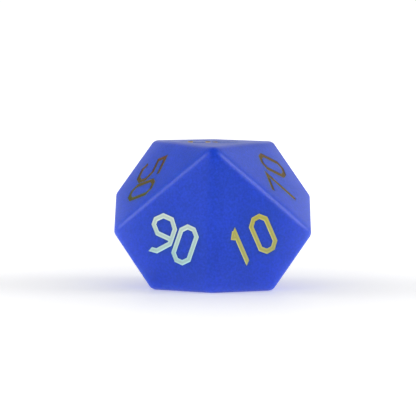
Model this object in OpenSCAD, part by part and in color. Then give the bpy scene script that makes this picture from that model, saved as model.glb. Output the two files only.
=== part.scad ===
// Percentile die: a ten-sided die of frosted glass that lies on one of its
// kite-shaped faces. Each face carries a two-digit ten, 00 to 90, cut into
// the glass as grooves, and every groove is filled with its own paint inlay.
// Z is up, and the origin is on the resting plane, below the die's centre.

/* [Body] */
// Distance between two opposite faces, which is also the height at rest
face_gap = 16; // [15:0.5:24]
// Radius on every edge and corner, left by tumbling
edge_round = 0.9; // [0.3:0.1:1.2]

/* [Numerals] */
// Height of a digit, over its strokes
digit_h = 4.5; // [3.5:0.1:4.8]
// Width of a stroke, as a share of the digit's height
stroke_share = 0.122; // [0.08:0.002:0.13]
// How far the middle of a numeral lies below the middle of its face
numeral_drop = 2.45; // [2.2:0.05:2.7]
// Depth of the engraved grooves
groove_depth = 0.35; // [0.2:0.05:0.6]
// How far the paint stays below the face
paint_recess = 0.08; // [0.02:0.02:0.16]

/* [Hidden] */
// Sides of the balls that round the corners
ball_sides = 32;

// A numeral is [name, tens digit, turn in degrees, middle of the tens digit,
// middle of the zero, extra drop]. The middles are measured to the right of
// the face's middle line, and they and the drop are in steps of the grid on
// which the digits are drawn. Each numeral sits a little differently, as cut.
// Faces follow each other round an apex, and opposite ones add up to 90.
UPPER = [
    ["30", 3, 0, -2.75, 3.25, 0],
    ["50", 5, -4, -2.65, 3.2, 0.7],
    ["90", 9, 5.7, -2.75, 3.4, 0],
    ["10", 1, 0, -2.75, 2.8, 0],
    ["70", 7, -1, -2.4, 4.2, 0.1],
];
LOWER = [
    ["60", 6, 0, -2.75, 3.25, 0],
    ["20", 2, 1.5, -2.75, 3.25, 0],
    ["80", 8, 0, -2.75, 3.25, 0],
    ["00", 0, -2, -2.6, 2.8, 0],
    ["40", 4, 1, -2.75, 3.25, 0],
];
FACES = concat(UPPER, LOWER);
PLACES = ["tens", "units"];

// The solid: two five-sided apexes on a long axis, and a zigzag girdle of ten
// corners. The tilt of the faces makes the girdle's edges square.
faces_per_apex = 5;
step = 360 / faces_per_apex;
tilt = atan(sqrt(-1 / cos(2 * step)));
radius_in = face_gap / 2;
apex_z = radius_in / cos(tilt);
girdle_z = apex_z * pow(tan(step / 4), 2);
girdle_r = radius_in / (pow(cos(step / 4), 2) * sin(tilt));

// One kite in its own plane, its apex towards +Y, with the die's centre
// below the plane's origin.
apex_v = radius_in * tan(tilt);
side_u = girdle_r * sin(step / 2);
side_v = girdle_z * sin(tilt) - girdle_r * cos(step / 2) * cos(tilt);
far_v = -girdle_z * sin(tilt) - girdle_r * cos(tilt);
KITE = [[0, apex_v], [side_u, side_v], [0, far_v], [-side_u, side_v]];

// The rounded body is a smaller sharp die with a ball of edge_round rolled
// all over it, and this is the smaller die's share of the full size.
core = (radius_in - edge_round) / radius_in;

// Corners of the sharp die, in the frame of its long axis.
function ring(turn, z) = [
    for (k = [0:faces_per_apex - 1])
        [girdle_r * cos(turn + step * k), girdle_r * sin(turn + step * k), z]
];
CORNERS = concat(
    [[0, 0, apex_z], [0, 0, -apex_z]],
    ring(step / 2, girdle_z),
    ring(0, -girdle_z)
);

// Digits are drawn on a grid, as the middle lines of their strokes. A stroke
// is [points, ends], and ends is LOOP where it closes on itself. Otherwise it
// is how far both ends are slanted, as a share of half the stroke's width.
LOOP = "loop";
grid_h = 8;
tens_w = 5.2;
zero_w = 4;
stroke_w = digit_h * stroke_share;
grid = (digit_h - stroke_w) / grid_h;

// The nine, and the six too, which is the nine turned half round.
NINE_LOOP = [[5.2, 3.75], [1.5, 3.75], [0, 5.25], [0, 6.5], [1.5, 8], [3.75, 8], [5.2, 6.25]];
NINE_TAIL = [[5.2, 5], [5.2, 2.75], [2.75, 0], [1.1, -0.25]];
function turned(points) = [for (p = points) [tens_w - p[0], grid_h - p[1]]];

DIGITS = [
    // 0
    [[[[1.2, 0], [2.8, 0], [4, 1.25], [4, 6.75], [2.8, 8], [1.2, 8], [0, 6.75], [0, 1.25]], LOOP]],
    // 1
    [
        [[[2, 8.15], [2, -0.15]], -0.8],
        [[[2, 7.8], [0.9, 6.2]], 0],
    ],
    // 2
    [[[[0, 6.5], [1.5, 8], [3.75, 8], [5.2, 6.5], [5.2, 5.25], [0, 1.25], [0, 0], [5.2, 0]], 0]],
    // 3
    [
        [[[0, 6.75], [1.25, 8], [3.75, 8], [5, 6.75], [5, 5.5], [3.75, 4.25]], 0],
        [[[1.5, 4.25], [3.75, 4.25], [5.2, 3], [5.2, 1.5], [3.75, 0], [1.25, 0], [0, 1.25]], 0],
    ],
    // 4
    [
        [[[1.75, 8.25], [0, 2.5], [5.5, 2.5]], 0],
        [[[3.75, 5.25], [3.75, -0.5]], 0],
    ],
    // 5
    [[[[5, 8], [0, 8], [0, 5.25], [3.5, 5.25], [5.2, 3.5], [5.2, 1.5], [3.75, 0], [1.25, 0], [0, 1.25]], 0]],
    // 6
    [[turned(NINE_LOOP), LOOP], [turned(NINE_TAIL), 0.6]],
    // 7
    [[[[0, 8], [5, 8], [0.75, -0.25]], 0]],
    // 8
    [
        [[[1.5, 4.25], [3.7, 4.25], [4.8, 5.25], [4.8, 7], [3.7, 8], [1.5, 8], [0.4, 7], [0.4, 5.25]], LOOP],
        [[[1.25, 0], [3.95, 0], [5.2, 1.25], [5.2, 3], [3.7, 4.25], [1.5, 4.25], [0, 3], [0, 1.25]], LOOP],
    ],
    // 9
    [[NINE_LOOP, LOOP], [NINE_TAIL, 0.6]],
];

function unit(v) = v / norm(v);
function left_of(v) = [-v[1], v[0]];

// The outline of one side of a stroke: each point is moved sideways by reach,
// mitred where the stroke turns, and slanted at its ends.
function beside(points, ends, reach) = [
    for (i = [0:len(points) - 1])
        let (
            n = len(points),
            closed = ends == LOOP,
            first = !closed && i == 0,
            last = !closed && i == n - 1,
            into = unit(points[i] - points[(i + n - 1) % n]),
            out = unit(points[(i + 1) % n] - points[i]),
            a = left_of(first ? out : into),
            b = left_of(last ? into : out),
            slant = first ? ends * out : last ? ends * into : [0, 0]
        )
        points[i] + reach * ((a + b) / (1 + a * b) + slant)
];
function backwards(list) = [for (i = [len(list) - 1:-1:0]) list[i]];
function row(from, count) = [for (i = [0:count - 1]) from + i];

module stroke(points, ends) {
    one = beside(grid * points, ends, stroke_w / 2);
    other = beside(grid * points, ends, -stroke_w / 2);
    n = len(points);
    if (ends == LOOP)
        polygon(concat(one, other), paths = [row(0, n), row(n, n)]);
    else
        polygon(concat(one, backwards(other)));
}

// A digit in its face's plane, centred on the place that its numeral gives.
module digit(face, place) {
    is_tens = place == "tens";
    value = is_tens ? face[1] : 0;
    middle = is_tens ? face[3] : face[4];
    width = value == 0 ? zero_w : tens_w;
    translate([0, -numeral_drop - grid * face[5]])
    rotate(face[2])
    translate(grid * [middle - width / 2, -grid_h / 2])
    for (s = DIGITS[value])
        stroke(s[0], s[1]);
}

// Moves children from the long axis's frame to the standing die, which turns
// the first upper face to the top and its opposite to the ground.
module standing() {
    translate([0, 0, radius_in])
    rotate([0, 0, 90])
    rotate([0, -tilt, 0])
    children();
}

// Moves children from a face's own plane to its place on the standing die.
module on_face(index) {
    standing()
    rotate([0, index < faces_per_apex ? 0 : 180, 0])
    rotate([0, 0, step * index])
    rotate([0, tilt, 0])
    rotate([0, 0, 90])
    translate([0, 0, radius_in])
    children();
}

// The blank, before engraving: the core with a plate on each of its faces
// and a ball at each of its corners, wrapped into one rounded solid.
module blank() {
    hull() {
        for (i = [0:len(FACES) - 1])
            on_face(i)
            translate([0, 0, -edge_round])
            linear_extrude(edge_round)
            polygon(core * KITE);
        standing()
        for (corner = CORNERS)
            translate(core * corner)
            sphere(r = edge_round, $fn = ball_sides);
    }
}

module glass_body() {
    color("royalblue")
    difference() {
        blank();
        for (i = [0:len(FACES) - 1])
            for (place = PLACES)
                on_face(i)
                translate([0, 0, -groove_depth])
                linear_extrude(groove_depth + edge_round)
                digit(FACES[i], place);
    }
}

module inlay(index, place) {
    color("goldenrod")
    on_face(index)
    translate([0, 0, -groove_depth])
    linear_extrude(groove_depth - paint_recess)
    digit(FACES[index], place);
}

glass_body();
for (i = [0:len(FACES) - 1])
    for (place = PLACES)
        inlay(i, place);
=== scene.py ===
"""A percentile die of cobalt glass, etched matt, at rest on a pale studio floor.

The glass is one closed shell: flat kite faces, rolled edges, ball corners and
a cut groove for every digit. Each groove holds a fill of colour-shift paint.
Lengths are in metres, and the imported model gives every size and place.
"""

import logging
import math
from dataclasses import dataclass
from enum import Enum

import bpy
import numpy as np
from mathutils import Matrix, Vector
from mathutils.geometry import delaunay_2d_cdt


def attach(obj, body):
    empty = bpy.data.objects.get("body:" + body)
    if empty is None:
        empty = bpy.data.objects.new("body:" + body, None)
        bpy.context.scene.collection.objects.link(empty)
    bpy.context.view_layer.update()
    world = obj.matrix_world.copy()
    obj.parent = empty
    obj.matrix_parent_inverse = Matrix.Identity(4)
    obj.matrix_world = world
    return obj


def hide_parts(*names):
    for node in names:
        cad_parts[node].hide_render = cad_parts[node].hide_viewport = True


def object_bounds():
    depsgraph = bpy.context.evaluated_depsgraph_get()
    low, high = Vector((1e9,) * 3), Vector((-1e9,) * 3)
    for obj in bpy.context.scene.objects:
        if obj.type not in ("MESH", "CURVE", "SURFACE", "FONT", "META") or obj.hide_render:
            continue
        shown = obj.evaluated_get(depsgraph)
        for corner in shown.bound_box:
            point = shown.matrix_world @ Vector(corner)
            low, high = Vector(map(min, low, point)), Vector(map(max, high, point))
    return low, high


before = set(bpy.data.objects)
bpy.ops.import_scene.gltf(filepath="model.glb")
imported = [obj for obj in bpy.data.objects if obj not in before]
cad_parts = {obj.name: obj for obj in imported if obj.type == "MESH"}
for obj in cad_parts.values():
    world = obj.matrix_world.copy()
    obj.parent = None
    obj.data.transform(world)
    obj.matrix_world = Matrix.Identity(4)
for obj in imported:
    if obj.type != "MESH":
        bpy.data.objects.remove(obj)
CAD_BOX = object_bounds()

MM = 0.001
SENSOR_W = 36.0
# Points nearer to each other than this are one point of a shell.
WELD = 1.37e-7
# How strongly a plane is bent while its outlines are filled, per square metre.
BEND = 10.0
log = logging.getLogger("die")
Colour = tuple[float, float, float]


# ---------------------------------------------------------------- materials


class Value:
    """A number that varies over a surface, used in ordinary arithmetic."""

    def __init__(self, bench: "Bench", socket: bpy.types.NodeSocket) -> None:
        """Wraps an output socket of the bench's material."""
        self.bench, self.socket = bench, socket

    def _math(self, operation: str, a: "Value | float", b: "Value | float") -> "Value":
        """Adds one Math node for operation on a and b."""
        node = self.bench.add("ShaderNodeMath", {"operation": operation}, {0: a, 1: b})
        return Value(self.bench, node.outputs[0])

    def __add__(self, other: "Value | float") -> "Value":
        """Sum."""
        return self._math("ADD", self, other)

    def __sub__(self, other: "Value | float") -> "Value":
        """Difference."""
        return self._math("SUBTRACT", self, other)

    def __rsub__(self, other: "Value | float") -> "Value":
        """Difference, the other way round."""
        return self._math("SUBTRACT", other, self)

    def __mul__(self, other: "Value | float") -> "Value":
        """Product."""
        return self._math("MULTIPLY", self, other)

    def __truediv__(self, other: "Value | float") -> "Value":
        """Quotient."""
        return self._math("DIVIDE", self, other)

    def __rtruediv__(self, other: "Value | float") -> "Value":
        """Quotient, the other way round."""
        return self._math("DIVIDE", other, self)

    __radd__ = __add__
    __rmul__ = __mul__

    def wave(self) -> "Value":
        """The cosine of this value, in radians."""
        return self._math("COSINE", self, 0.0)

    def clamped(self) -> "Value":
        """This value kept from 0 to 1."""
        return self._math("MINIMUM", self._math("MAXIMUM", self, 0.0), 1.0)


class Bench:
    """Builds one material's nodes."""

    def __init__(self, name: str) -> None:
        """Makes an empty node material called name."""
        self.material = bpy.data.materials.new(name)
        self.material.use_nodes = True
        self.tree = self.material.node_tree
        self.tree.nodes.clear()

    def add(self, kind: str, settings: dict, sockets: dict) -> bpy.types.Node:
        """Adds one node.

        Args:
            kind: The node's type.
            settings: The node's own properties, which are set first.
            sockets: Inputs by name or number: a Value, a socket, or a plain value.

        Returns:
            The node.
        """
        node = self.tree.nodes.new(kind)
        for key, value in settings.items():
            setattr(node, key, value)
        for key, value in sockets.items():
            is_name = isinstance(key, str)
            socket = self.pick(node.inputs, key) if is_name else node.inputs[key]
            if isinstance(value, Value):
                value = value.socket
            if isinstance(value, bpy.types.NodeSocket):
                self.tree.links.new(value, socket)
            else:
                socket.default_value = value
        return node

    @staticmethod
    def pick(sockets: bpy.types.bpy_prop_collection, name: str) -> bpy.types.NodeSocket:
        """The socket in use that has this name."""
        return next(s for s in sockets if s.name == name and s.enabled)

    def place(self) -> bpy.types.NodeSocket:
        """Each point's Object coordinates, in metres."""
        return self.add("ShaderNodeTexCoord", {}, {}).outputs["Object"]

    def noise(self, size: float, detail: float = 2.0, shift: float = 0.0) -> Value:
        """Even noise from 0 to 1.

        Args:
            size: How wide its lumps are, in metres.
            detail: How many finer layers it has.
            shift: How far the pattern is moved along X, in metres.

        Returns:
            The noise.
        """
        spot = self.place()
        if shift:
            moved = {"operation": "ADD"}
            spot = self.add("ShaderNodeVectorMath", moved, {0: spot, 1: (shift, 0.0, 0.0)})
            spot = spot.outputs["Vector"]
        sockets = {"Vector": spot, "Scale": 1.0 / size, "Detail": detail}
        node = self.add("ShaderNodeTexNoise", {"noise_dimensions": "3D"}, sockets)
        return Value(self, node.outputs[0])

    def attribute(self, name: str) -> Value:
        """A mesh attribute of the piece."""
        node = self.add("ShaderNodeAttribute", {"attribute_name": name}, {})
        return Value(self, node.outputs["Fac"])

    def axis(self, number: int) -> Value:
        """One Object coordinate: 0 for X, 1 for Y and 2 for Z."""
        node = self.add("ShaderNodeSeparateXYZ", {}, {0: self.place()})
        return Value(self, node.outputs[number])

    def reach(self) -> Value:
        """Each point's distance from the origin, in metres."""
        node = self.add("ShaderNodeVectorMath", {"operation": "LENGTH"}, {0: self.place()})
        return Value(self, node.outputs["Value"])

    def blend(self, share: Value | float, low: object, high: object) -> bpy.types.NodeSocket:
        """A colour between two others.

        Args:
            share: 0 for low, and 1 for high.
            low: The one colour, three numbers or a socket.
            high: The other.

        Returns:
            The colour's socket.
        """
        sockets = {"Factor": share, "A": self.opaque(low), "B": self.opaque(high)}
        node = self.add("ShaderNodeMix", {"data_type": "RGBA"}, sockets)
        return self.pick(node.outputs, "Result")

    @staticmethod
    def opaque(colour: object) -> object:
        """A colour with its fourth number, or the socket unchanged."""
        return (*colour, 1.0) if isinstance(colour, tuple) else colour

    def bump(self, height: Value, distance: float) -> bpy.types.NodeSocket:
        """The normal of a surface raised by height times distance, in metres."""
        sockets = {"Height": height, "Distance": distance, "Strength": 1.0}
        return self.add("ShaderNodeBump", {}, sockets).outputs["Normal"]

    def finish(self, sockets: dict) -> bpy.types.Material:
        """Ends the material in one Principled shader.

        Args:
            sockets: The shader's inputs by name.

        Returns:
            The finished material.
        """
        shader = self.add("ShaderNodeBsdfPrincipled", {}, sockets)
        self.add("ShaderNodeOutputMaterial", {}, {"Surface": shader.outputs[0]})
        return self.material


@dataclass(frozen=True)
class FrostedGlass:
    """Cobalt glass, etched matt: light enters it and comes out elsewhere.

    Attributes:
        deep: Its darkest colour.
        clear: Its colour where it is clearer.
        frosted: The colour of the painted sheen along the girdle.
        veil: How much of that colour shows at most.
        veil_low: The share of the painted sheen that is left low on the die.
        veil_from: Where the painted sheen starts to grow, above the floor.
        veil_over: Over what height it grows.
        cloud: Width of the clouds in the glass.
        cloud_share: How strongly they show.
        speckle: Width of the fine speckle.
        speckle_share: How strongly it shows.
        ground: What is taken off clouds and speckle together.
        grain: Width of the etch's grain.
        etch: Height of the etch.
        rubbed_off: The share of the etch that is gone where an edge is rubbed.
        matt: How matt the faces are.
        matt_spread: How much the grain changes that.
        polish: How much less matt a rubbed edge is.
        reach: How far light travels inside.
        refraction: The index of refraction, which sets the gloss.
    """

    deep: Colour = (0.006, 0.064, 0.58)
    clear: Colour = (0.014, 0.082, 0.78)
    frosted: Colour = (0.24, 0.33, 1.0)
    veil: float = 0.55
    veil_low: float = 0.30
    veil_from: float = 4.0 * MM
    veil_over: float = 8.0 * MM
    cloud: float = 5.0 * MM
    cloud_share: float = 0.6
    speckle: float = 0.26 * MM
    speckle_share: float = 2.2
    ground: float = 0.9
    grain: float = 0.11 * MM
    etch: float = 0.008 * MM
    rubbed_off: float = 0.85
    matt: float = 0.36
    matt_spread: float = 0.16
    polish: float = 0.08
    reach: float = 1.6 * MM
    refraction: float = 1.36

    def make(self) -> bpy.types.Material:
        """Clouds of paler glass, a fine etch, edges rubbed smoother than the faces, and a painted
        sheen near the girdle that grows higher on the die.

        Returns:
            The material.
        """
        bench = Bench("frosted_glass")
        cloud = ((bench.noise(self.cloud) - 0.35) * 2.2).clamped()
        speckle = bench.noise(self.speckle, shift=0.03)
        paleness = cloud * self.cloud_share + speckle * self.speckle_share - self.ground
        body = bench.blend(paleness.clamped(), self.deep, self.clear)
        # Painted sheen: a pale colour near the girdle, stronger higher on the die, where light from
        # above and behind falls.
        high = ((bench.axis(2) - self.veil_from) / self.veil_over).clamped()
        rising = self.veil_low + high * (1 - self.veil_low)
        frost = bench.attribute("frost") * rising * self.veil
        grain = bench.noise(self.grain, 3.0)
        rubbed = bench.attribute("rolled")
        etched = 1.0 - rubbed * self.rubbed_off
        uneven = (grain - 0.5) * etched * self.matt_spread
        return bench.finish({
            "Base Color": bench.blend(frost, body, self.frosted),
            "Roughness": self.matt + uneven - rubbed * self.polish,
            "Normal": bench.bump(grain * etched, self.etch),
            "IOR": self.refraction,
            "Subsurface Weight": 1.0,
            "Subsurface Radius": (1.0, 1.0, 1.0),
            "Subsurface Scale": self.reach,
        })


class Tone(Enum):
    """How one numeral's colour-shift paint looks on its face, its colour low and high on the die:
    painted reflection of the lamps that light that face.
    """

    MINT = ((0.48, 0.80, 0.80), (0.74, 0.84, 0.72))
    GOLD = ((0.61, 0.64, 0.25), (0.67, 0.60, 0.11))
    OLIVE = ((0.13, 0.17, 0.014), (0.24, 0.07, 0.012))
    BRONZE = ((0.20, 0.13, 0.004), (0.18, 0.09, 0.004))
    AMBER = ((0.60, 0.36, 0.06), (0.42, 0.20, 0.04))


@dataclass(frozen=True)
class ShiftPaint:
    """Metallic paint with colour-shift flakes, wiped into a groove.

    Attributes:
        tone: Its two colours, as the lamps light its face: painted reflection.
        flake: Width of the flakes.
        swirl: Width of the patches in which the two colours mix.
        swirl_share: How strongly they mix.
        pass_pitch: Distance between the duller lines that wiping leaves.
        pass_depth: Height of those lines and of the flakes.
        dull: Brightness of the duller lines beside the rest.
        dull_share: How strongly the lines and the flakes dull the paint.
        thin_width: How far from the wall the paint is thin.
        thin_share: How much of the glass shows through there.
        through: The glass's colour, where it shows through.
        metal: How metallic the paint is.
        rough: How rough it is.
    """

    tone: Tone
    flake: float = 0.05 * MM
    swirl: float = 1.2 * MM
    swirl_share: float = 0.7
    pass_pitch: float = 0.5 * MM
    pass_depth: float = 0.006 * MM
    dull: float = 0.45
    dull_share: float = 0.5
    thin_width: float = 0.07 * MM
    thin_share: float = 0.12
    through: Colour = (0.06, 0.08, 0.16)
    metal: float = 0.55
    rough: float = 0.36

    def make(self, low: float, high: float) -> bpy.types.Material:
        """The paint of one numeral.

        Args:
            low: Height of the numeral's lowest point.
            high: Height of its highest point.

        Returns:
            The material, whose colour drifts from low to high, a painted reflection mixed with the
            paint's own patches.
        """
        bench = Bench(f"shift_paint_{self.tone.name.lower()}")
        below, above = self.tone.value
        # Painted reflection: the colour runs from low to high on the numeral, as the colour-shift
        # paint catches the lamps; the swirl is the paint's own mixing.
        rise = (bench.axis(2) - low) / max(high - low, MM)
        drift = (rise + (bench.noise(self.swirl) - 0.5) * self.swirl_share).clamped()
        flakes = bench.noise(self.flake, shift=0.02)
        wall = bench.attribute("wall")
        lines = 0.5 - (wall * (2 * math.pi / self.pass_pitch)).wave() * 0.5
        thin = (1.0 - wall / self.thin_width).clamped()
        dulled = ((lines + flakes - 0.5) * self.dull_share).clamped()
        dull = tuple(self.dull * (a + b) / 2 for a, b in zip(below, above))
        paint = bench.blend(dulled, bench.blend(drift, below, above), dull)
        return bench.finish({
            "Base Color": bench.blend(thin * self.thin_share, paint, self.through),
            "Metallic": (self.metal + (flakes - 0.5) * 0.5).clamped(),
            "Roughness": self.rough + (flakes - 0.5) * 0.2 + lines * 0.06,
            "Normal": bench.bump(flakes * 0.35 + lines * 0.65, self.pass_depth),
        })


@dataclass(frozen=True)
class StudioPaper:
    """A pale paper sweep under the die.

    Attributes:
        shade: The paper's colour.
        glow: How bright the table under the paper is, far from the die.
        dimmed: How bright it is below the die, where the painted shadow is darkest.
        spread: How far from the die the painted shadow is half gone.
        tooth: Width of the paper's tooth.
        tooth_height: Height of the tooth.
    """

    shade: Colour = (0.90, 0.90, 0.905)
    glow: float = 0.68
    dimmed: float = 0.25
    spread: float = 30 * MM
    tooth: float = 0.4 * MM
    tooth_height: float = 0.01 * MM

    def make(self) -> bpy.types.Material:
        """Near-white paper with a faint tooth, on a light table, with a painted contact shadow in its
        light under the die.

        The table's light is glow, less a share 1 / (1 + (r / spread)^2) of the
        way to dimmed, at a distance r from the die's middle: a painted shadow.

        Returns:
            The material.
        """
        bench = Bench("studio_paper")
        tooth = bench.noise(self.tooth, 3.0)
        # Painted contact shadow: the table's glow is dimmed near the die.
        away = bench.reach() / self.spread
        under = 1.0 / (away * away + 1.0)
        lit, dark = (self.glow,) * 3, (self.dimmed,) * 3
        dim = tuple(0.985 * part for part in self.shade)
        return bench.finish({
            "Base Color": bench.blend(tooth, dim, self.shade),
            "Roughness": 0.55,
            "Normal": bench.bump(tooth, self.tooth_height),
            "Emission Color": bench.blend(under, lit, dark),
            "Emission Strength": 1.0,
        })


# ------------------------------------------------------------------- shells


def turn_about_z(angle: float) -> np.ndarray:
    """The matrix that turns by angle about Z."""
    c, s = math.cos(angle), math.sin(angle)
    return np.array([[c, -s, 0.0], [s, c, 0.0], [0.0, 0.0, 1.0]])


def turn_about_y(angle: float) -> np.ndarray:
    """The matrix that turns by angle about Y."""
    c, s = math.cos(angle), math.sin(angle)
    return np.array([[c, 0.0, s], [0.0, 1.0, 0.0], [-s, 0.0, c]])


def unit(vectors: np.ndarray) -> np.ndarray:
    """Each vector divided by its length."""
    return vectors / np.linalg.norm(vectors, axis=-1, keepdims=True)


@dataclass
class Patch:
    """A piece of surface: points, corners' normals and triangles."""

    points: np.ndarray
    normals: np.ndarray
    triangles: np.ndarray

    @classmethod
    def flat(cls, points: np.ndarray, normal: np.ndarray, triangles: np.ndarray) -> "Patch":
        """A patch with one normal all over."""
        return cls(points, np.broadcast_to(normal, points.shape), triangles)

    @classmethod
    def grid(cls, points: np.ndarray, normals: np.ndarray) -> "Patch":
        """A patch from a grid of rows and columns of points.

        Each cell is cut in two triangles, turned to face along the normals.

        Args:
            points: The grid, (rows, columns, 3).
            normals: A normal for each point, of the same shape.

        Returns:
            The patch.
        """
        rows, columns = points.shape[:2]
        index = np.arange(rows * columns).reshape(rows, columns)
        a, b = index[:-1, :-1].ravel(), index[:-1, 1:].ravel()
        c, d = index[1:, 1:].ravel(), index[1:, :-1].ravel()
        triangles = np.concatenate([np.stack([a, b, c], 1), np.stack([a, c, d], 1)])
        return cls(points.reshape(-1, 3), normals.reshape(-1, 3), triangles).outward()

    def outward(self) -> "Patch":
        """Turns every triangle to face along its normals.

        Returns:
            The same patch.
        """
        a, b, c = (self.points[self.triangles[:, i]] for i in range(3))
        facing = np.cross(b - a, c - a)
        wanted = self.normals[self.triangles].sum(1)
        wrong = (facing * wanted).sum(1) < 0
        self.triangles[wrong] = self.triangles[wrong][:, ::-1]
        return self


def weld(name: str, patches: list[Patch], extras: dict[str, np.ndarray]) -> bpy.types.Object:
    """Joins patches into one closed mesh object at the origin.

    Points in the same place become one, triangles that shrink to a line are
    dropped, and each corner keeps the normal its patch gave it.

    Args:
        name: The piece's name.
        patches: The surfaces, which meet point to point.
        extras: Attributes by name, with a number for each point of all patches.

    Returns:
        The object.
    """
    points = np.concatenate([p.points for p in patches])
    normals = np.concatenate([p.normals for p in patches])
    starts = np.cumsum([0] + [len(p.points) for p in patches[:-1]])
    triangles = np.concatenate([p.triangles + s for p, s in zip(patches, starts)])
    cells = np.round(points / WELD).astype(np.int64)
    _, first, where = np.unique(cells, axis=0, return_index=True, return_inverse=True)
    where = where.reshape(-1)
    welded = where[triangles]
    whole = (welded[:, 0] != welded[:, 1]) & (welded[:, 1] != welded[:, 2])
    whole &= welded[:, 2] != welded[:, 0]
    triangles, welded = triangles[whole], welded[whole]
    mesh = bpy.data.meshes.new(name)
    mesh.vertices.add(len(first))
    mesh.vertices.foreach_set("co", points[first].ravel())
    mesh.loops.add(welded.size)
    mesh.loops.foreach_set("vertex_index", welded.ravel())
    mesh.polygons.add(len(welded))
    mesh.polygons.foreach_set("loop_start", np.arange(0, welded.size, 3))
    mesh.polygons.foreach_set("use_smooth", np.ones(len(welded), bool))
    for label, numbers in extras.items():
        layer = mesh.attributes.new(label, "FLOAT", "POINT")
        layer.data.foreach_set("value", numbers[first].astype(np.float32))
    mesh.update(calc_edges=True)
    mesh.normals_split_custom_set(unit(normals[triangles].reshape(-1, 3)))
    piece = bpy.data.objects.new(name, mesh)
    bpy.context.scene.collection.objects.link(piece)
    return piece


def inside(spots: np.ndarray, edges: np.ndarray) -> np.ndarray:
    """Which spots lie inside closed outlines: a line from each crosses them an odd number of times.

    Args:
        spots: Points in a plane, (n, 2).
        edges: The outlines' edges, (m, 2, 2).

    Returns:
        A truth value for each spot.
    """
    x, y = spots[:, 0, None], spots[:, 1, None]
    (ax, ay), (bx, by) = edges[:, 0].T, edges[:, 1].T
    spans = (ay > y) != (by > y)
    rise = np.where(by == ay, 1.0, by - ay)
    crossing = ax + (y - ay) * (bx - ax) / rise
    return (spans & (x < crossing)).sum(1) % 2 == 1


def distance_to(spots: np.ndarray, edges: np.ndarray) -> np.ndarray:
    """How far each spot is from the nearest of the edges.

    The foot on an edge is start + along * t, with t = offset.along / along.along
    kept from 0 to 1.

    Args:
        spots: Points in a plane, (n, 2).
        edges: The edges, (m, 2, 2).

    Returns:
        A distance for each spot.
    """
    start, along = edges[:, 0], edges[:, 1] - edges[:, 0]
    offset = spots[:, None] - start
    share = (offset * along).sum(2) / (along * along).sum(1)
    foot = start + np.clip(share, 0, 1)[..., None] * along
    return np.linalg.norm(spots[:, None] - foot, axis=2).min(1)


def subdivide(edges: np.ndarray, pitch: float) -> np.ndarray:
    """Cuts each edge into equal lengths.

    Args:
        edges: The edges, (m, 2, 2).
        pitch: The greatest length.

    Returns:
        The shorter edges, in the same order.
    """
    lengths = np.linalg.norm(edges[:, 1] - edges[:, 0], axis=1)
    counts = np.maximum(np.ceil(lengths / pitch).astype(int), 1)
    owner = np.repeat(np.arange(len(edges)), counts)
    step = np.arange(len(owner)) - np.repeat(np.cumsum(counts) - counts, counts)
    size = counts[owner]
    along = edges[owner, 1] - edges[owner, 0]
    start = edges[owner, 0] + along * (step / size)[:, None]
    # The last length ends exactly on its edge's own end, so that outlines stay closed.
    end = edges[owner, 0] + along * ((step + 1) / size)[:, None]
    last = step + 1 == size
    end[last] = edges[owner[last], 1]
    return np.stack([start, end], 1)


def fill(edges: np.ndarray, lattice: np.ndarray) -> tuple[np.ndarray, np.ndarray]:
    """Triangulates the inside of closed outlines.

    Args:
        edges: The outlines' edges, (m, 2, 2).
        lattice: Further points to use, (n, 2), all inside.

    The triangulation works in single precision, which would put the points of
    a straight edge a little off it, on either side. So the plane is bent by a
    hair first, by p * (1 - BEND * |p|^2), which makes long straight edges
    bulge, and the same bent and rounded points decide what is inside.

    Returns:
        The points, exactly as given, and the triangles between them, which
        run anticlockwise.
    """
    ends = edges.reshape(-1, 2)
    cells = np.round(ends / WELD).astype(np.int64)
    _, first, where = np.unique(cells, axis=0, return_index=True, return_inverse=True)
    rim = ends[first]
    pairs = where.reshape(-1, 2)
    points = np.concatenate([rim, lattice])
    bent = points * (1 - BEND * (points**2).sum(1, keepdims=True))
    rounded = (bent / MM).astype(np.float32).astype(float)
    made = delaunay_2d_cdt(rounded.tolist(), pairs.tolist(), [], 0, 1e-7, True)
    source = np.array([origins[0] for origins in made[3]])
    triangles = source[np.array(made[2])]
    middles = rounded[triangles].mean(1)
    return points, triangles[inside(middles, rounded[pairs])]


def lattice_inside(edges: np.ndarray, pitch: float, margin: float) -> np.ndarray:
    """Points on a staggered lattice, inside closed outlines.

    Args:
        edges: The outlines' edges, (m, 2, 2).
        pitch: Distance between neighbouring points.
        margin: How far they stay from the outlines.

    Returns:
        The points, (n, 2).
    """
    low, high = edges.reshape(-1, 2).min(0), edges.reshape(-1, 2).max(0)
    rows = np.arange(low[1], high[1], pitch * math.sqrt(0.75))
    columns = np.arange(low[0], high[0], pitch)
    x, y = np.meshgrid(columns, rows)
    x = x + 0.5 * pitch * (np.arange(len(rows)) % 2)[:, None]
    spots = np.stack([x.ravel(), y.ravel()], 1)
    spots = spots[inside(spots, edges)]
    return spots[distance_to(spots, edges) > margin]


# ---------------------------------------------------------------------- die


@dataclass(frozen=True)
class Kite:
    """One face: a frame on its plane, X across, Y towards its apex, Z outwards."""

    number: str
    middle: np.ndarray
    turn: np.ndarray

    @property
    def normal(self) -> np.ndarray:
        """The outward normal."""
        return self.turn[:, 2]

    def lay(self, spots: np.ndarray, height: np.ndarray | float = 0.0) -> np.ndarray:
        """Points of the plane, raised by height, as points of the die."""
        raised = np.broadcast_to(np.asarray(height, float), spots.shape[:-1])
        across = spots @ self.turn[:, :2].T
        return self.middle + across + raised[..., None] * self.normal

    def local(self, points: np.ndarray) -> np.ndarray:
        """Points of the die in this face's frame."""
        return (points - self.middle) @ self.turn


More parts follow.
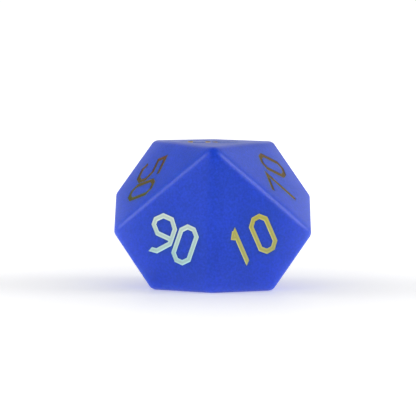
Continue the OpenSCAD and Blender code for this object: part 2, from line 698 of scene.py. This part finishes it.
@dataclass(frozen=True)
class DieShape:
    """A solid of ten kites round a long axis, lying on one of them.

    Five faces meet at each apex. Each is tilted so that the zigzag girdle's
    edges are square, and opposite faces are parallel.

    Attributes:
        gap: Distance between opposite faces.
        roll: Radius of the edges.
        ridge_wear: How far from a ridge a face's normals have turned.
        girdle_wear: How far from the girdle a part of that turn reaches.
        girdle_share: How large that part is.
        frost_reach: How far from the girdle the painted sheen fades.
        upper: Numerals of the faces round the upper apex.
        lower: Numerals of the faces round the lower apex.
    """

    gap: float
    roll: float = 0.9 * MM
    ridge_wear: float = 0.28 * MM
    girdle_wear: float = 1.8 * MM
    girdle_share: float = 0.3
    frost_reach: float = 1.7 * MM
    upper: tuple[str, ...] = ("30", "50", "90", "10", "70")
    lower: tuple[str, ...] = ("60", "20", "80", "00", "40")

    @property
    def step(self) -> float:
        """The angle from one face to the next round an apex."""
        return 2 * math.pi / len(self.upper)

    @property
    def tilt(self) -> float:
        """The angle between a face's normal and the long axis."""
        return math.atan(math.sqrt(-1 / math.cos(2 * self.step)))

    @property
    def radius(self) -> float:
        """From the centre to a face."""
        return self.gap / 2

    @property
    def centre(self) -> np.ndarray:
        """The die's centre, above the origin."""
        return np.array([0.0, 0.0, self.radius])

    @property
    def stand(self) -> np.ndarray:
        """Turns the long axis's frame to the standing die."""
        return turn_about_z(math.pi / 2) @ turn_about_y(-self.tilt)

    def kites(self) -> list[Kite]:
        """Lays out all ten faces.

        Returns:
            The faces, the top one first and its opposite sixth.
        """
        return [
            self._kite(number, index, flip)
            for flip, row in enumerate((self.upper, self.lower))
            for index, number in enumerate(row)
        ]

    def _kite(self, number: str, index: int, flip: int) -> Kite:
        """One face.

        Args:
            number: Its numeral.
            index: Its place round its apex.
            flip: 0 for the upper apex and 1 for the lower one.

        Returns:
            The face.
        """
        turn = self.stand @ turn_about_y(math.pi * flip) @ turn_about_z(self.step * index)
        turn = turn @ turn_about_y(self.tilt) @ turn_about_z(math.pi / 2)
        return Kite(number, self.centre + self.radius * turn[:, 2], turn)

    def corners(self) -> np.ndarray:
        """The twelve corners of the sharp solid, as offsets from the centre.

        The apexes are at radius / cos(tilt) on the long axis. The girdle's ten
        corners stand in two rings, tan^2(step / 4) of that height above and
        below the middle, each ring half a step from the other.

        Returns:
            The corners, (12, 3), the two apexes first.
        """
        quarter = self.step / 4
        apex = self.radius / math.cos(self.tilt)
        height = apex * math.tan(quarter) ** 2
        reach = self.radius / (math.cos(quarter) ** 2 * math.sin(self.tilt))
        turns = self.step * np.arange(len(self.upper))
        rings = [
            np.stack([reach * np.cos(a), reach * np.sin(a), np.full(len(a), z)], 1)
            for a, z in ((turns + self.step / 2, height), (turns, -height))
        ]
        ends = np.array([[0.0, 0.0, apex], [0.0, 0.0, -apex]])
        return np.concatenate([ends, *rings]) @ self.stand.T

    @property
    def core(self) -> float:
        """Size of the core, which a rolling ball rounds, over the sharp solid's."""
        return (self.radius - self.roll) / self.radius

    def soft_normals(self, points: np.ndarray) -> np.ndarray:
        """The normals of faces that tumbling has turned a little towards their edges.

        Depth is how far a point lies below a face's plane. The faces round one
        apex add up, weighted by exp(-depth / ridge_wear), to one direction. Then
        the two apexes' directions add up, the nearer one whole and the farther
        one weighted in the same way, but girdle_share of it fades more slowly,
        with girdle_wear: the square girdle has worn wider than the ridges.

        Args:
            points: Points on the die, (..., 3).

        Returns:
            A direction for each, of unit length.
        """
        normals = np.stack([k.normal for k in self.kites()])
        depth = self.radius - (points - self.centre) @ normals.T
        rows = np.stack(np.split(depth, 2, axis=-1), -2)
        near = rows.min(-1, keepdims=True)
        shares = np.exp((near - rows) / self.ridge_wear)
        ways = unit((shares[..., None] * normals.reshape(2, -1, 3)).sum(-2))
        beyond = near - near.min(-2, keepdims=True)
        sharp = (1 - self.girdle_share) * np.exp(-beyond / self.ridge_wear)
        wide = self.girdle_share * np.exp(-beyond / self.girdle_wear)
        return unit((ways * (sharp + wide)).sum(-2))

    def rolled(self, points: np.ndarray) -> np.ndarray:
        """How far each point's normal has left every face's.

        It is (1 - cosine of the angle to the nearest face's normal) / 0.1,
        kept from 0 to 1.

        Args:
            points: Points on the die, (n, 3).

        Returns:
            A number for each.
        """
        normals = np.stack([k.normal for k in self.kites()])
        nearest = (self.soft_normals(points) @ normals.T).max(-1)
        return np.clip((1 - nearest) / 0.1, 0, 1)

    def frost(self, points: np.ndarray) -> np.ndarray:
        """How strongly the painted sheen shows near the girdle.

        It is exp(-d / frost_reach), where d is the difference between a
        point's depths below the nearest face of each apex: 1 on the girdle, where the painted sheen
        is whole.

        Args:
            points: Points on the die, (n, 3).

        Returns:
            A number for each.
        """
        normals = np.stack([k.normal for k in self.kites()])
        depth = self.radius - (points - self.centre) @ normals.T
        near = np.stack(np.split(depth, 2, axis=-1), -2).min(-1)
        return np.exp(-np.ptp(near, axis=-1) / self.frost_reach)

    def touching(self) -> np.ndarray:
        """A table of faces by corners: which corner lies on which face."""
        normals = np.stack([k.normal for k in self.kites()])
        return np.abs(normals @ self.corners().T - self.radius) < 1e-6 * MM + 1e-9


def outline_of(node: str, kite: Kite) -> tuple[np.ndarray, float, float]:
    """Reads a digit's outline from its CAD fill.

    The outline is the edges that only one triangle of the fill's top uses.

    Args:
        node: The fill's name.
        kite: The face that it lies in.

    Returns:
        The edges in the face's plane, and the heights of the fill's top and
        floor from the face.
    """
    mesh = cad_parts[node].data
    points = np.empty(len(mesh.vertices) * 3, np.float32)
    mesh.vertices.foreach_get("co", points)
    mesh.calc_loop_triangles()
    corners = np.empty(len(mesh.loop_triangles) * 3, np.int32)
    mesh.loop_triangles.foreach_get("vertices", corners)
    unique, where = np.unique(points.reshape(-1, 3), axis=0, return_inverse=True)
    where = where.reshape(-1)
    local = kite.local(unique.astype(float))
    top, floor = local[:, 2].max(), local[:, 2].min()
    triangles = where[corners].reshape(-1, 3)
    capping = (np.abs(local[triangles][..., 2] - top) < 0.01 * MM).all(1)
    cap = triangles[capping]
    pairs = np.concatenate([cap[:, [0, 1]], cap[:, [1, 2]], cap[:, [2, 0]]])
    shared = np.sort(pairs, 1)
    _, back, uses = np.unique(shared, axis=0, return_inverse=True, return_counts=True)
    rim = pairs[uses[back.reshape(-1)] == 1]
    return local[rim][..., :2], top, floor


def mitres(edges: np.ndarray) -> tuple[np.ndarray, np.ndarray]:
    """How to move outlines outwards with their corners kept sharp.

    At a corner between edges with outward normals m and n, moving by one
    unit means moving by (m + n) / (1 + m.n).

    Args:
        edges: Edges of closed outlines, (m, 2, 2), all with the filled side on
            the same hand.

    Returns:
        The outward normal of each edge, (m, 2), and the move of each edge's
        two ends, (m, 2, 2).
    """
    along = unit(edges[:, 1] - edges[:, 0])
    # Seen from the end of its normal, an outline that runs anticlockwise has a positive area.
    area = np.cross(edges[:, 0], edges[:, 1]).sum()
    normals = np.sign(area) * np.stack([along[:, 1], -along[:, 0]], 1)
    ends = edges.reshape(-1, 2)
    cells = np.round(ends / WELD).astype(np.int64)
    _, where = np.unique(cells, axis=0, return_inverse=True)
    where = where.reshape(-1)
    total = np.zeros((where.max() + 1, 2))
    np.add.at(total, where, np.repeat(normals, 2, axis=0))
    # For two unit normals, |m + n|^2 / 2 is 1 + m.n.
    moves = total / ((total**2).sum(1, keepdims=True) / 2)
    return normals, moves[where].reshape(-1, 2, 2)


@dataclass
class GlassBlank:
    """The glass: flat faces, rolled edges, ball corners and cut grooves.

    Attributes:
        shape: The die's shape.
        box: The lowest and the highest corner of the space it keeps to.
        arc_steps: Steps across a rolled edge.
        edge_steps: Steps along it.
        lip: Radius of a groove's lip.
        lip_steps: Steps round the lip.
        lattice: Distance between the points of a flat face.
    """

    shape: DieShape
    box: tuple[Vector, Vector]
    arc_steps: int = 12
    edge_steps: int = 24
    lip: float = 0.02 * MM
    lip_steps: int = 4
    lattice: float = 0.45 * MM

    def arc(self, start: np.ndarray, end: np.ndarray) -> np.ndarray:
        """Directions from start to end: straight steps between them, made unit length."""
        share = np.linspace(0, 1, self.arc_steps + 1)[:, None]
        return unit(start * (1 - share) + end * share)

    def bars(self) -> list[Patch]:
        """The rolled edges.

        A rolled edge is a grid: across it the direction runs from one face's
        normal to the other's, and along it the core's edge is followed. A
        point is the core's point plus the roll radius times the direction.

        Returns:
            A patch for each of the twenty edges.
        """
        shape, made = self.shape, []
        normals = np.stack([k.normal for k in shape.kites()])
        corners, touching = shape.corners() * shape.core, shape.touching()
        for a, b, faces in self.edges(touching):
            directions = self.arc(normals[faces[0]], normals[faces[1]])
            share = np.linspace(0, 1, self.edge_steps + 1)[:, None]
            line = corners[a] * (1 - share) + corners[b] * share
            points = shape.centre + line[:, None] + shape.roll * directions[None]
            made.append(Patch.grid(points, shape.soft_normals(points)))
        return made

    @staticmethod
    def edges(touching: np.ndarray) -> list[tuple[int, int, np.ndarray]]:
        """Finds the solid's edges.

        Args:
            touching: Which corner lies on which face, faces by corners.

        Returns:
            Each edge as its two corners and the two faces that share it.
        """
        count = touching.shape[1]
        pairs = ((a, b) for a in range(count) for b in range(a + 1, count))
        found = ((a, b, np.flatnonzero(touching[:, a] & touching[:, b])) for a, b in pairs)
        return [edge for edge in found if len(edge[2]) == 2]

    def balls(self) -> list[Patch]:
        """The ball corners.

        Three faces meet at a girdle corner, and the directions between their
        normals are weighted sums of the three, made unit length. At an apex
        five such triangles fan out from the middle of the five normals.

        Returns:
            One patch for each girdle corner and five for each apex.
        """
        shape, made = self.shape, []
        normals = np.stack([k.normal for k in shape.kites()])
        for corner, meets in zip(shape.corners() * shape.core, shape.touching().T):
            around = normals[meets]
            if len(around) == 3:
                triples = [around]
            else:
                middle = unit(around.sum(0))
                triples = [np.stack([middle, *pair]) for pair in self.neighbours(around)]
            made += [self._ball(shape.centre + corner, triple) for triple in triples]
        return made

    @staticmethod
    def neighbours(normals: np.ndarray) -> list[np.ndarray]:
        """Pairs up normals that stand next to each other round an apex.

        Args:
            normals: The normals round the apex, (n, 3).

        Returns:
            The pairs, each (2, 3).
        """
        close = normals @ normals.T
        np.fill_diagonal(close, -1)
        limit = np.sort(close, axis=1)[:, -2].min() - 1e-6
        rows, columns = np.nonzero(np.triu(close > limit))
        return [normals[[a, b]] for a, b in zip(rows, columns)]

    def _ball(self, middle: np.ndarray, triple: np.ndarray) -> Patch:
        """One spherical triangle: weighted sums of three directions, made unit length.

        Args:
            middle: The ball's middle.
            triple: The three directions, (3, 3).

        Returns:
            The patch.
        """
        n = self.arc_steps
        i, j = np.meshgrid(np.arange(n + 1), np.arange(n + 1), indexing="ij")
        kept = i + j <= n
        index = np.full((n + 1, n + 1), -1)
        index[kept] = np.arange(kept.sum())
        weights = np.stack([n - i[kept] - j[kept], i[kept], j[kept]], 1) / n
        directions = unit(weights @ triple)
        up = kept[:-1, :-1] & (i + j < n)[:-1, :-1]
        down = up & (i + j < n - 1)[:-1, :-1]
        a, b, c, d = index[:-1, :-1], index[1:, :-1], index[:-1, 1:], index[1:, 1:]
        triangles = np.concatenate([
            np.stack([a[up], b[up], c[up]], 1),
            np.stack([b[down], d[down], c[down]], 1),
        ])
        points = middle + self.shape.roll * directions
        return Patch(points, self.shape.soft_normals(points), triangles).outward()

    def flats(self, kite: Kite, outlines: list[np.ndarray]) -> Patch:
        """One flat face with an opening for each groove.

        Args:
            kite: The face.
            outlines: The openings, each (m, 2, 2).

        Returns:
            The patch.
        """
        spots = kite.local(self.shape.centre + self.shape.corners() * self.shape.core)
        near = np.abs(spots[:, 2] + self.shape.roll) < 1e-6 * MM + 1e-9
        rim = spots[near, :2]
        turns = np.arctan2(rim[:, 1] - rim[:, 1].mean(), rim[:, 0])
        rim = rim[np.argsort(turns)]
        sides = np.stack([rim, np.roll(rim, -1, axis=0)], 1)
        share = np.linspace(0, 1, self.edge_steps + 1)[:, None, None]
        cuts = sides[:, 0] * (1 - share) + sides[:, 1] * share
        border = np.stack([cuts[:-1], cuts[1:]], 2).reshape(-1, 2, 2)
        edges = np.concatenate([border, *outlines])
        lattice = lattice_inside(edges, self.lattice, 0.4 * self.lattice)
        spots, triangles = fill(edges, lattice)
        points = kite.lay(spots)
        return Patch(points, self.shape.soft_normals(points), triangles)

    def groove(self, kite: Kite, outline: np.ndarray, depth: float) -> tuple[np.ndarray, list[Patch]]:
        """One groove: a rolled lip, a straight wall and a flat floor.

        The lip is a quarter circle carried along the outline. At angle a from
        the face it stands lip * (1 - sin a) out from the wall and
        lip * (1 - cos a) deep.

        Args:
            kite: The face.
            outline: The groove's outline at its wall.
            depth: How deep it is.

        Returns:
            The opening that the face leaves for it, and its patches.
        """
        normals, moves = mitres(outline)
        angles = np.linspace(0, math.pi / 2, self.lip_steps + 1)
        out = np.append(self.lip * (1 - np.sin(angles)), 0.0)
        down = np.append(self.lip * (1 - np.cos(angles)), depth)
        spots = outline[:, None] + out[None, :, None, None] * moves[:, None]
        points = kite.lay(spots, -down[None, :, None] * np.ones(spots.shape[:-1]))
        lean = np.append(np.sin(angles), 1.0)[None, :, None, None]
        rise = np.append(np.cos(angles), 0.0)[None, :, None, None]
        inwards = -(normals @ kite.turn[:, :2].T)[:, None, None]
        facing = lean * inwards + rise * self.shape.soft_normals(points)
        walls = [Patch.grid(p, f) for p, f in zip(points, facing)]
        floor, triangles = fill(outline, np.empty((0, 2)))
        base = Patch.flat(kite.lay(floor, -depth), kite.normal, triangles)
        return spots[:, 0], [*walls, base]

    def build(self, grooves: dict[str, list[tuple[np.ndarray, float]]]) -> bpy.types.Object:
        """The whole shell.

        Args:
            grooves: For each face's number, its digits' outlines and depths.

        Returns:
            The piece.
        """
        patches = self.bars() + self.balls()
        for kite in self.shape.kites():
            openings = []
            for outline, depth in grooves[kite.number]:
                opening, cut = self.groove(kite, outline, depth)
                openings.append(opening)
                patches += cut
            patches.append(self.flats(kite, openings))
        for patch in patches:
            np.clip(patch.points, *map(np.array, self.box), out=patch.points)
        points = np.concatenate([p.points for p in patches])
        # The second attribute places the painted sheen near the girdle.
        extras = {"rolled": self.shape.rolled(points), "frost": self.shape.frost(points)}
        return weld("glass_blank", patches, extras)


@dataclass
class PaintFill:
    """The paint in one groove: it climbs the walls a little and keeps the cutter's lines.

    Attributes:
        pitch: Distance between the points of its surface.
        climb: How high it climbs at the wall.
        climb_width: How far from the wall that fades.
        line_pitch: Distance between the cutter's lines.
        line_height: Height of the lines.
        slack: The gap between the paint and the glass.
    """

    pitch: float = 0.055 * MM
    climb: float = 0.035 * MM
    climb_width: float = 0.05 * MM
    line_pitch: float = 0.19 * MM
    line_height: float = 0.006 * MM
    slack: float = 0.003 * MM

    def height(self, wall: np.ndarray) -> np.ndarray:
        """Height of the paint over its middle, at a distance from the wall.

        It is climb * exp(-wall / climb_width), plus fine lines along the
        strokes, line_height * cos(2 pi wall / line_pitch).

        Args:
            wall: Distances from the wall.

        Returns:
            A height for each.
        """
        climb = self.climb * np.exp(-wall / self.climb_width)
        return climb + self.line_height * np.cos(2 * math.pi * wall / self.line_pitch)

    def build(
        self, name: str, kite: Kite, outline: np.ndarray, top: float, floor: float
    ) -> bpy.types.Object:
        """One fill.

        Args:
            name: The piece's name.
            kite: The face it lies in.
            outline: Its outline.
            top: Height of its middle from the face, below zero.
            floor: Height of its underside.

        Returns:
            The piece, a closed solid.
        """
        _, moves = mitres(outline)
        drawn_in = outline - self.slack * moves
        rim = subdivide(drawn_in, self.pitch)
        spots, triangles = fill(rim, lattice_inside(rim, self.pitch, 0.45 * self.pitch))
        wall = distance_to(spots, drawn_in)
        lift = top + self.height(wall)
        step = 0.01 * MM
        gain = self.height(wall + step) - self.height(np.maximum(wall - step, 0))
        slopes = gain / (2 * step)
        uphill = self._uphill(spots, drawn_in, step)
        flat = -slopes[:, None] * uphill
        normals = unit(flat @ kite.turn[:, :2].T + kite.normal)
        upper = Patch(kite.lay(spots, lift), normals, triangles)
        base_height = floor + self.slack
        lower = Patch.flat(kite.lay(spots, base_height), -kite.normal, triangles[:, ::-1])
        sides = self._sides(kite, rim, base_height, top)
        walls = [wall, wall, np.zeros(len(sides.points))]
        return weld(name, [upper, lower, sides], {"wall": np.concatenate(walls)})

    @staticmethod
    def _uphill(spots: np.ndarray, outline: np.ndarray, step: float) -> np.ndarray:
        """The way in which the distance to the wall grows fastest.

        It is the difference between the distances a step to either side,
        divided by both steps, first across the face and then up it.

        Args:
            spots: Points in the face's plane, (n, 2).
            outline: The wall's edges, (m, 2, 2).
            step: The step.

        Returns:
            A direction for each point, (n, 2).
        """
        across = np.array([[step, 0.0], [0.0, step]])
        gains = [
            distance_to(spots + way, outline) - distance_to(spots - way, outline)
            for way in across
        ]
        return np.stack(gains, 1) / (2 * step)

    def _sides(self, kite: Kite, rim: np.ndarray, low: float, top: float) -> Patch:
        """The fill's sides, from its underside up to its rim.

        Args:
            kite: The face it lies in.
            rim: The rim's short edges, (m, 2, 2).
            low: Height of the underside from the face.
            top: Height of the fill's middle.

        Returns:
            The patch, four points for each short edge.
        """
        normals, _ = mitres(rim)
        high = top + float(self.height(np.zeros(1))[0])
        heights = np.array([low, high])
        level = heights[None, :, None] * np.ones((len(rim), 2, 2))
        points = kite.lay(np.repeat(rim[:, None], 2, axis=1), level)
        facing = (normals @ kite.turn[:, :2].T)[:, None, None]
        facing = np.broadcast_to(facing, points.shape).reshape(-1, 3)
        corner = 4 * np.arange(len(rim))[:, None]
        quads = np.concatenate([corner + [0, 1, 3], corner + [0, 3, 2]])
        flat = points.reshape(-1, 3)
        return Patch(flat, facing, quads).outward()


@dataclass
class Die:
    """The whole die: one glass blank and twenty paint fills."""

    shape: DieShape
    box: tuple[Vector, Vector]
    # Each face's paint colours as the lamps light that face: painted reflection of one colour-shift
    # paint.
    tones: tuple[tuple[str, Tone], ...] = (
        ("30", Tone.AMBER), ("50", Tone.OLIVE), ("90", Tone.MINT), ("10", Tone.GOLD),
        ("70", Tone.BRONZE), ("60", Tone.GOLD), ("20", Tone.BRONZE), ("80", Tone.GOLD),
        ("00", Tone.MINT), ("40", Tone.AMBER),
    )
    places: tuple[str, ...] = ("tens", "units")

    def build(self) -> list[bpy.types.Object]:
        """Makes every piece, dresses it and puts it on the frame.

        Returns:
            The pieces.
        """
        tones, grooves, pieces = dict(self.tones), {}, []
        for kite in self.shape.kites():
            grooves[kite.number] = []
            fills = []
            for place in self.places:
                node = f"inlay_{kite.number}_{place}"
                outline, top, floor = outline_of(node, kite)
                grooves[kite.number].append((outline, -floor))
                name = f"paint_{kite.number}_{place}"
                fill_piece = PaintFill().build(name, kite, outline, top, floor)
                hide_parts(node)
                fills.append(fill_piece)
            low, high = self.span(fills)
            paint = ShiftPaint(tones[kite.number]).make(low, high)
            for piece in fills:
                piece.data.materials.append(paint)
            pieces += fills
        body = GlassBlank(self.shape, self.box).build(grooves)
        body.data.materials.append(FrostedGlass().make())
        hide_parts("glass_body")
        pieces.append(body)
        for piece in pieces:
            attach(piece, "root")
            log.info("%s: %d triangles", piece.name, len(piece.data.polygons))
        return pieces

    @staticmethod
    def span(pieces: list[bpy.types.Object]) -> tuple[float, float]:
        """Heights of the lowest and the highest point of some pieces.

        Args:
            pieces: The pieces.

        Returns:
            The two heights.
        """
        ends = []
        for piece in pieces:
            points = np.empty(len(piece.data.vertices) * 3, np.float32)
            piece.data.vertices.foreach_get("co", points)
            ends += [points[2::3].min(), points[2::3].max()]
        return float(min(ends)), float(max(ends))


# ------------------------------------------------------------------- studio


@dataclass(frozen=True)
class Lamp:
    """One soft square lamp that points at the die.

    Attributes:
        name: Its name.
        side: Degrees round the die from the camera's side, to the right.
        rise: Degrees above the floor.
        size: Its width.
        glow: How bright it looks beside white paper.
    """

    name: str
    side: float
    rise: float
    size: float
    glow: float


@dataclass
class Studio:
    """A paper floor, soft lights and the camera.

    Attributes:
        aim: What the camera and the lamps point at.
        azimuth: Degrees that the camera stands round to the right.
        elevation: Degrees that it stands above the level.
        roll: Degrees that it leans.
        distance: How far it is from the aim.
        lens: Its focal length in millimetres.
        shift: How far its frame is shifted, in widths of the frame.
        floor_size: Width of the floor.
        floor_gap: How far the paper gives under the die.
        lamp_reach: How far the lamps are from the aim.
        surround: How bright the room is.
        lamps: The lamps.
    """

    aim: Vector
    azimuth: float = -0.024
    elevation: float = 4.623
    roll: float = 0.545
    distance: float = 353.1 * MM
    lens: float = 272.93
    shift: tuple[float, float] = (-0.01153, 0.02614)
    floor_size: float = 16.0
    floor_gap: float = 0.01 * MM
    lamp_reach: float = 0.6
    surround: float = 0.40
    lamps: tuple[Lamp, ...] = (
        Lamp("left", -90, 22, 0.3, 3.2),
        Lamp("right", 90, 22, 0.3, 4.4),
        Lamp("front_left", -52, 15, 0.3, 1.2),
        Lamp("back_right", 140, 24, 0.3, 0.5),
        Lamp("back", 180, 9, 0.3, 0.4),
    )

    def camera(self) -> bpy.types.Object:
        """Puts the camera round the die and makes it the scene's.

        Returns:
            The camera.
        """
        azimuth, elevation = math.radians(self.azimuth), math.radians(self.elevation)
        back = Vector((
            math.sin(azimuth) * math.cos(elevation),
            -math.cos(azimuth) * math.cos(elevation),
            math.sin(elevation),
        ))
        level = Vector((math.cos(azimuth), math.sin(azimuth), 0.0))
        up = back.cross(level)
        lean = math.radians(self.roll)
        right = level * math.cos(lean) + up * math.sin(lean)
        data = bpy.data.cameras.new("camera")
        data.sensor_width = SENSOR_W
        data.lens = self.lens
        data.shift_x, data.shift_y = self.shift
        data.clip_start, data.clip_end = 0.01, 100.0
        camera = bpy.data.objects.new("camera", data)
        axes = Matrix((right, back.cross(right), back)).transposed()
        camera.matrix_world = Matrix.Translation(self.aim + back * self.distance) @ axes.to_4x4()
        bpy.context.scene.collection.objects.link(camera)
        bpy.context.scene.camera = camera
        return camera

    def hang(self, lamp: Lamp) -> None:
        """Adds one lamp.

        Args:
            lamp: What it is like and where it hangs.
        """
        turn, tilt = math.radians(lamp.side), math.radians(lamp.rise)
        level = Vector((math.sin(turn), -math.cos(turn), 0.0)) * math.cos(tilt)
        place = self.aim + self.lamp_reach * (level + Vector((0.0, 0.0, math.sin(tilt))))
        data = bpy.data.lights.new(lamp.name, "AREA")
        data.shape, data.size = "SQUARE", lamp.size
        data.energy = lamp.glow * math.pi * lamp.size**2
        light = bpy.data.objects.new(lamp.name, data)
        light.location = place
        light.rotation_euler = (place - self.aim).to_track_quat("Z", "Y").to_euler()
        bpy.context.scene.collection.objects.link(light)

    def world(self) -> None:
        """Gives the room an even pale light."""
        world = bpy.data.worlds.new("surround")
        world.use_nodes = True
        background = world.node_tree.nodes["Background"]
        background.inputs["Color"].default_value = (1.0, 1.0, 1.0, 1.0)
        background.inputs["Strength"].default_value = self.surround
        bpy.context.scene.world = world

    def floor(self) -> bpy.types.Object:
        """Lays the paper that the die lies on.

        Returns:
            The floor.
        """
        half, low = self.floor_size / 2, -self.floor_gap
        corners = [(-half, -half, low), (half, -half, low), (half, half, low), (-half, half, low)]
        mesh = bpy.data.meshes.new("floor")
        mesh.from_pydata(corners, [], [(0, 1, 2, 3)])
        mesh.materials.append(StudioPaper().make())
        floor = bpy.data.objects.new("floor", mesh)
        bpy.context.scene.collection.objects.link(floor)
        return floor

    def build(self) -> None:
        """Sets the whole studio."""
        bpy.context.scene.view_settings.view_transform = "Standard"
        self.camera()
        self.floor()
        self.world()
        for lamp in self.lamps:
            self.hang(lamp)


def main() -> None:
    """Builds the studio and the die."""
    logging.basicConfig(level=logging.INFO, format="%(name)s: %(message)s")
    low, high = CAD_BOX
    shape = DieShape(gap=high.z - low.z)
    Studio(aim=Vector(shape.centre)).build()
    Die(shape, CAD_BOX).build()


if __name__ == "__main__":
    main()
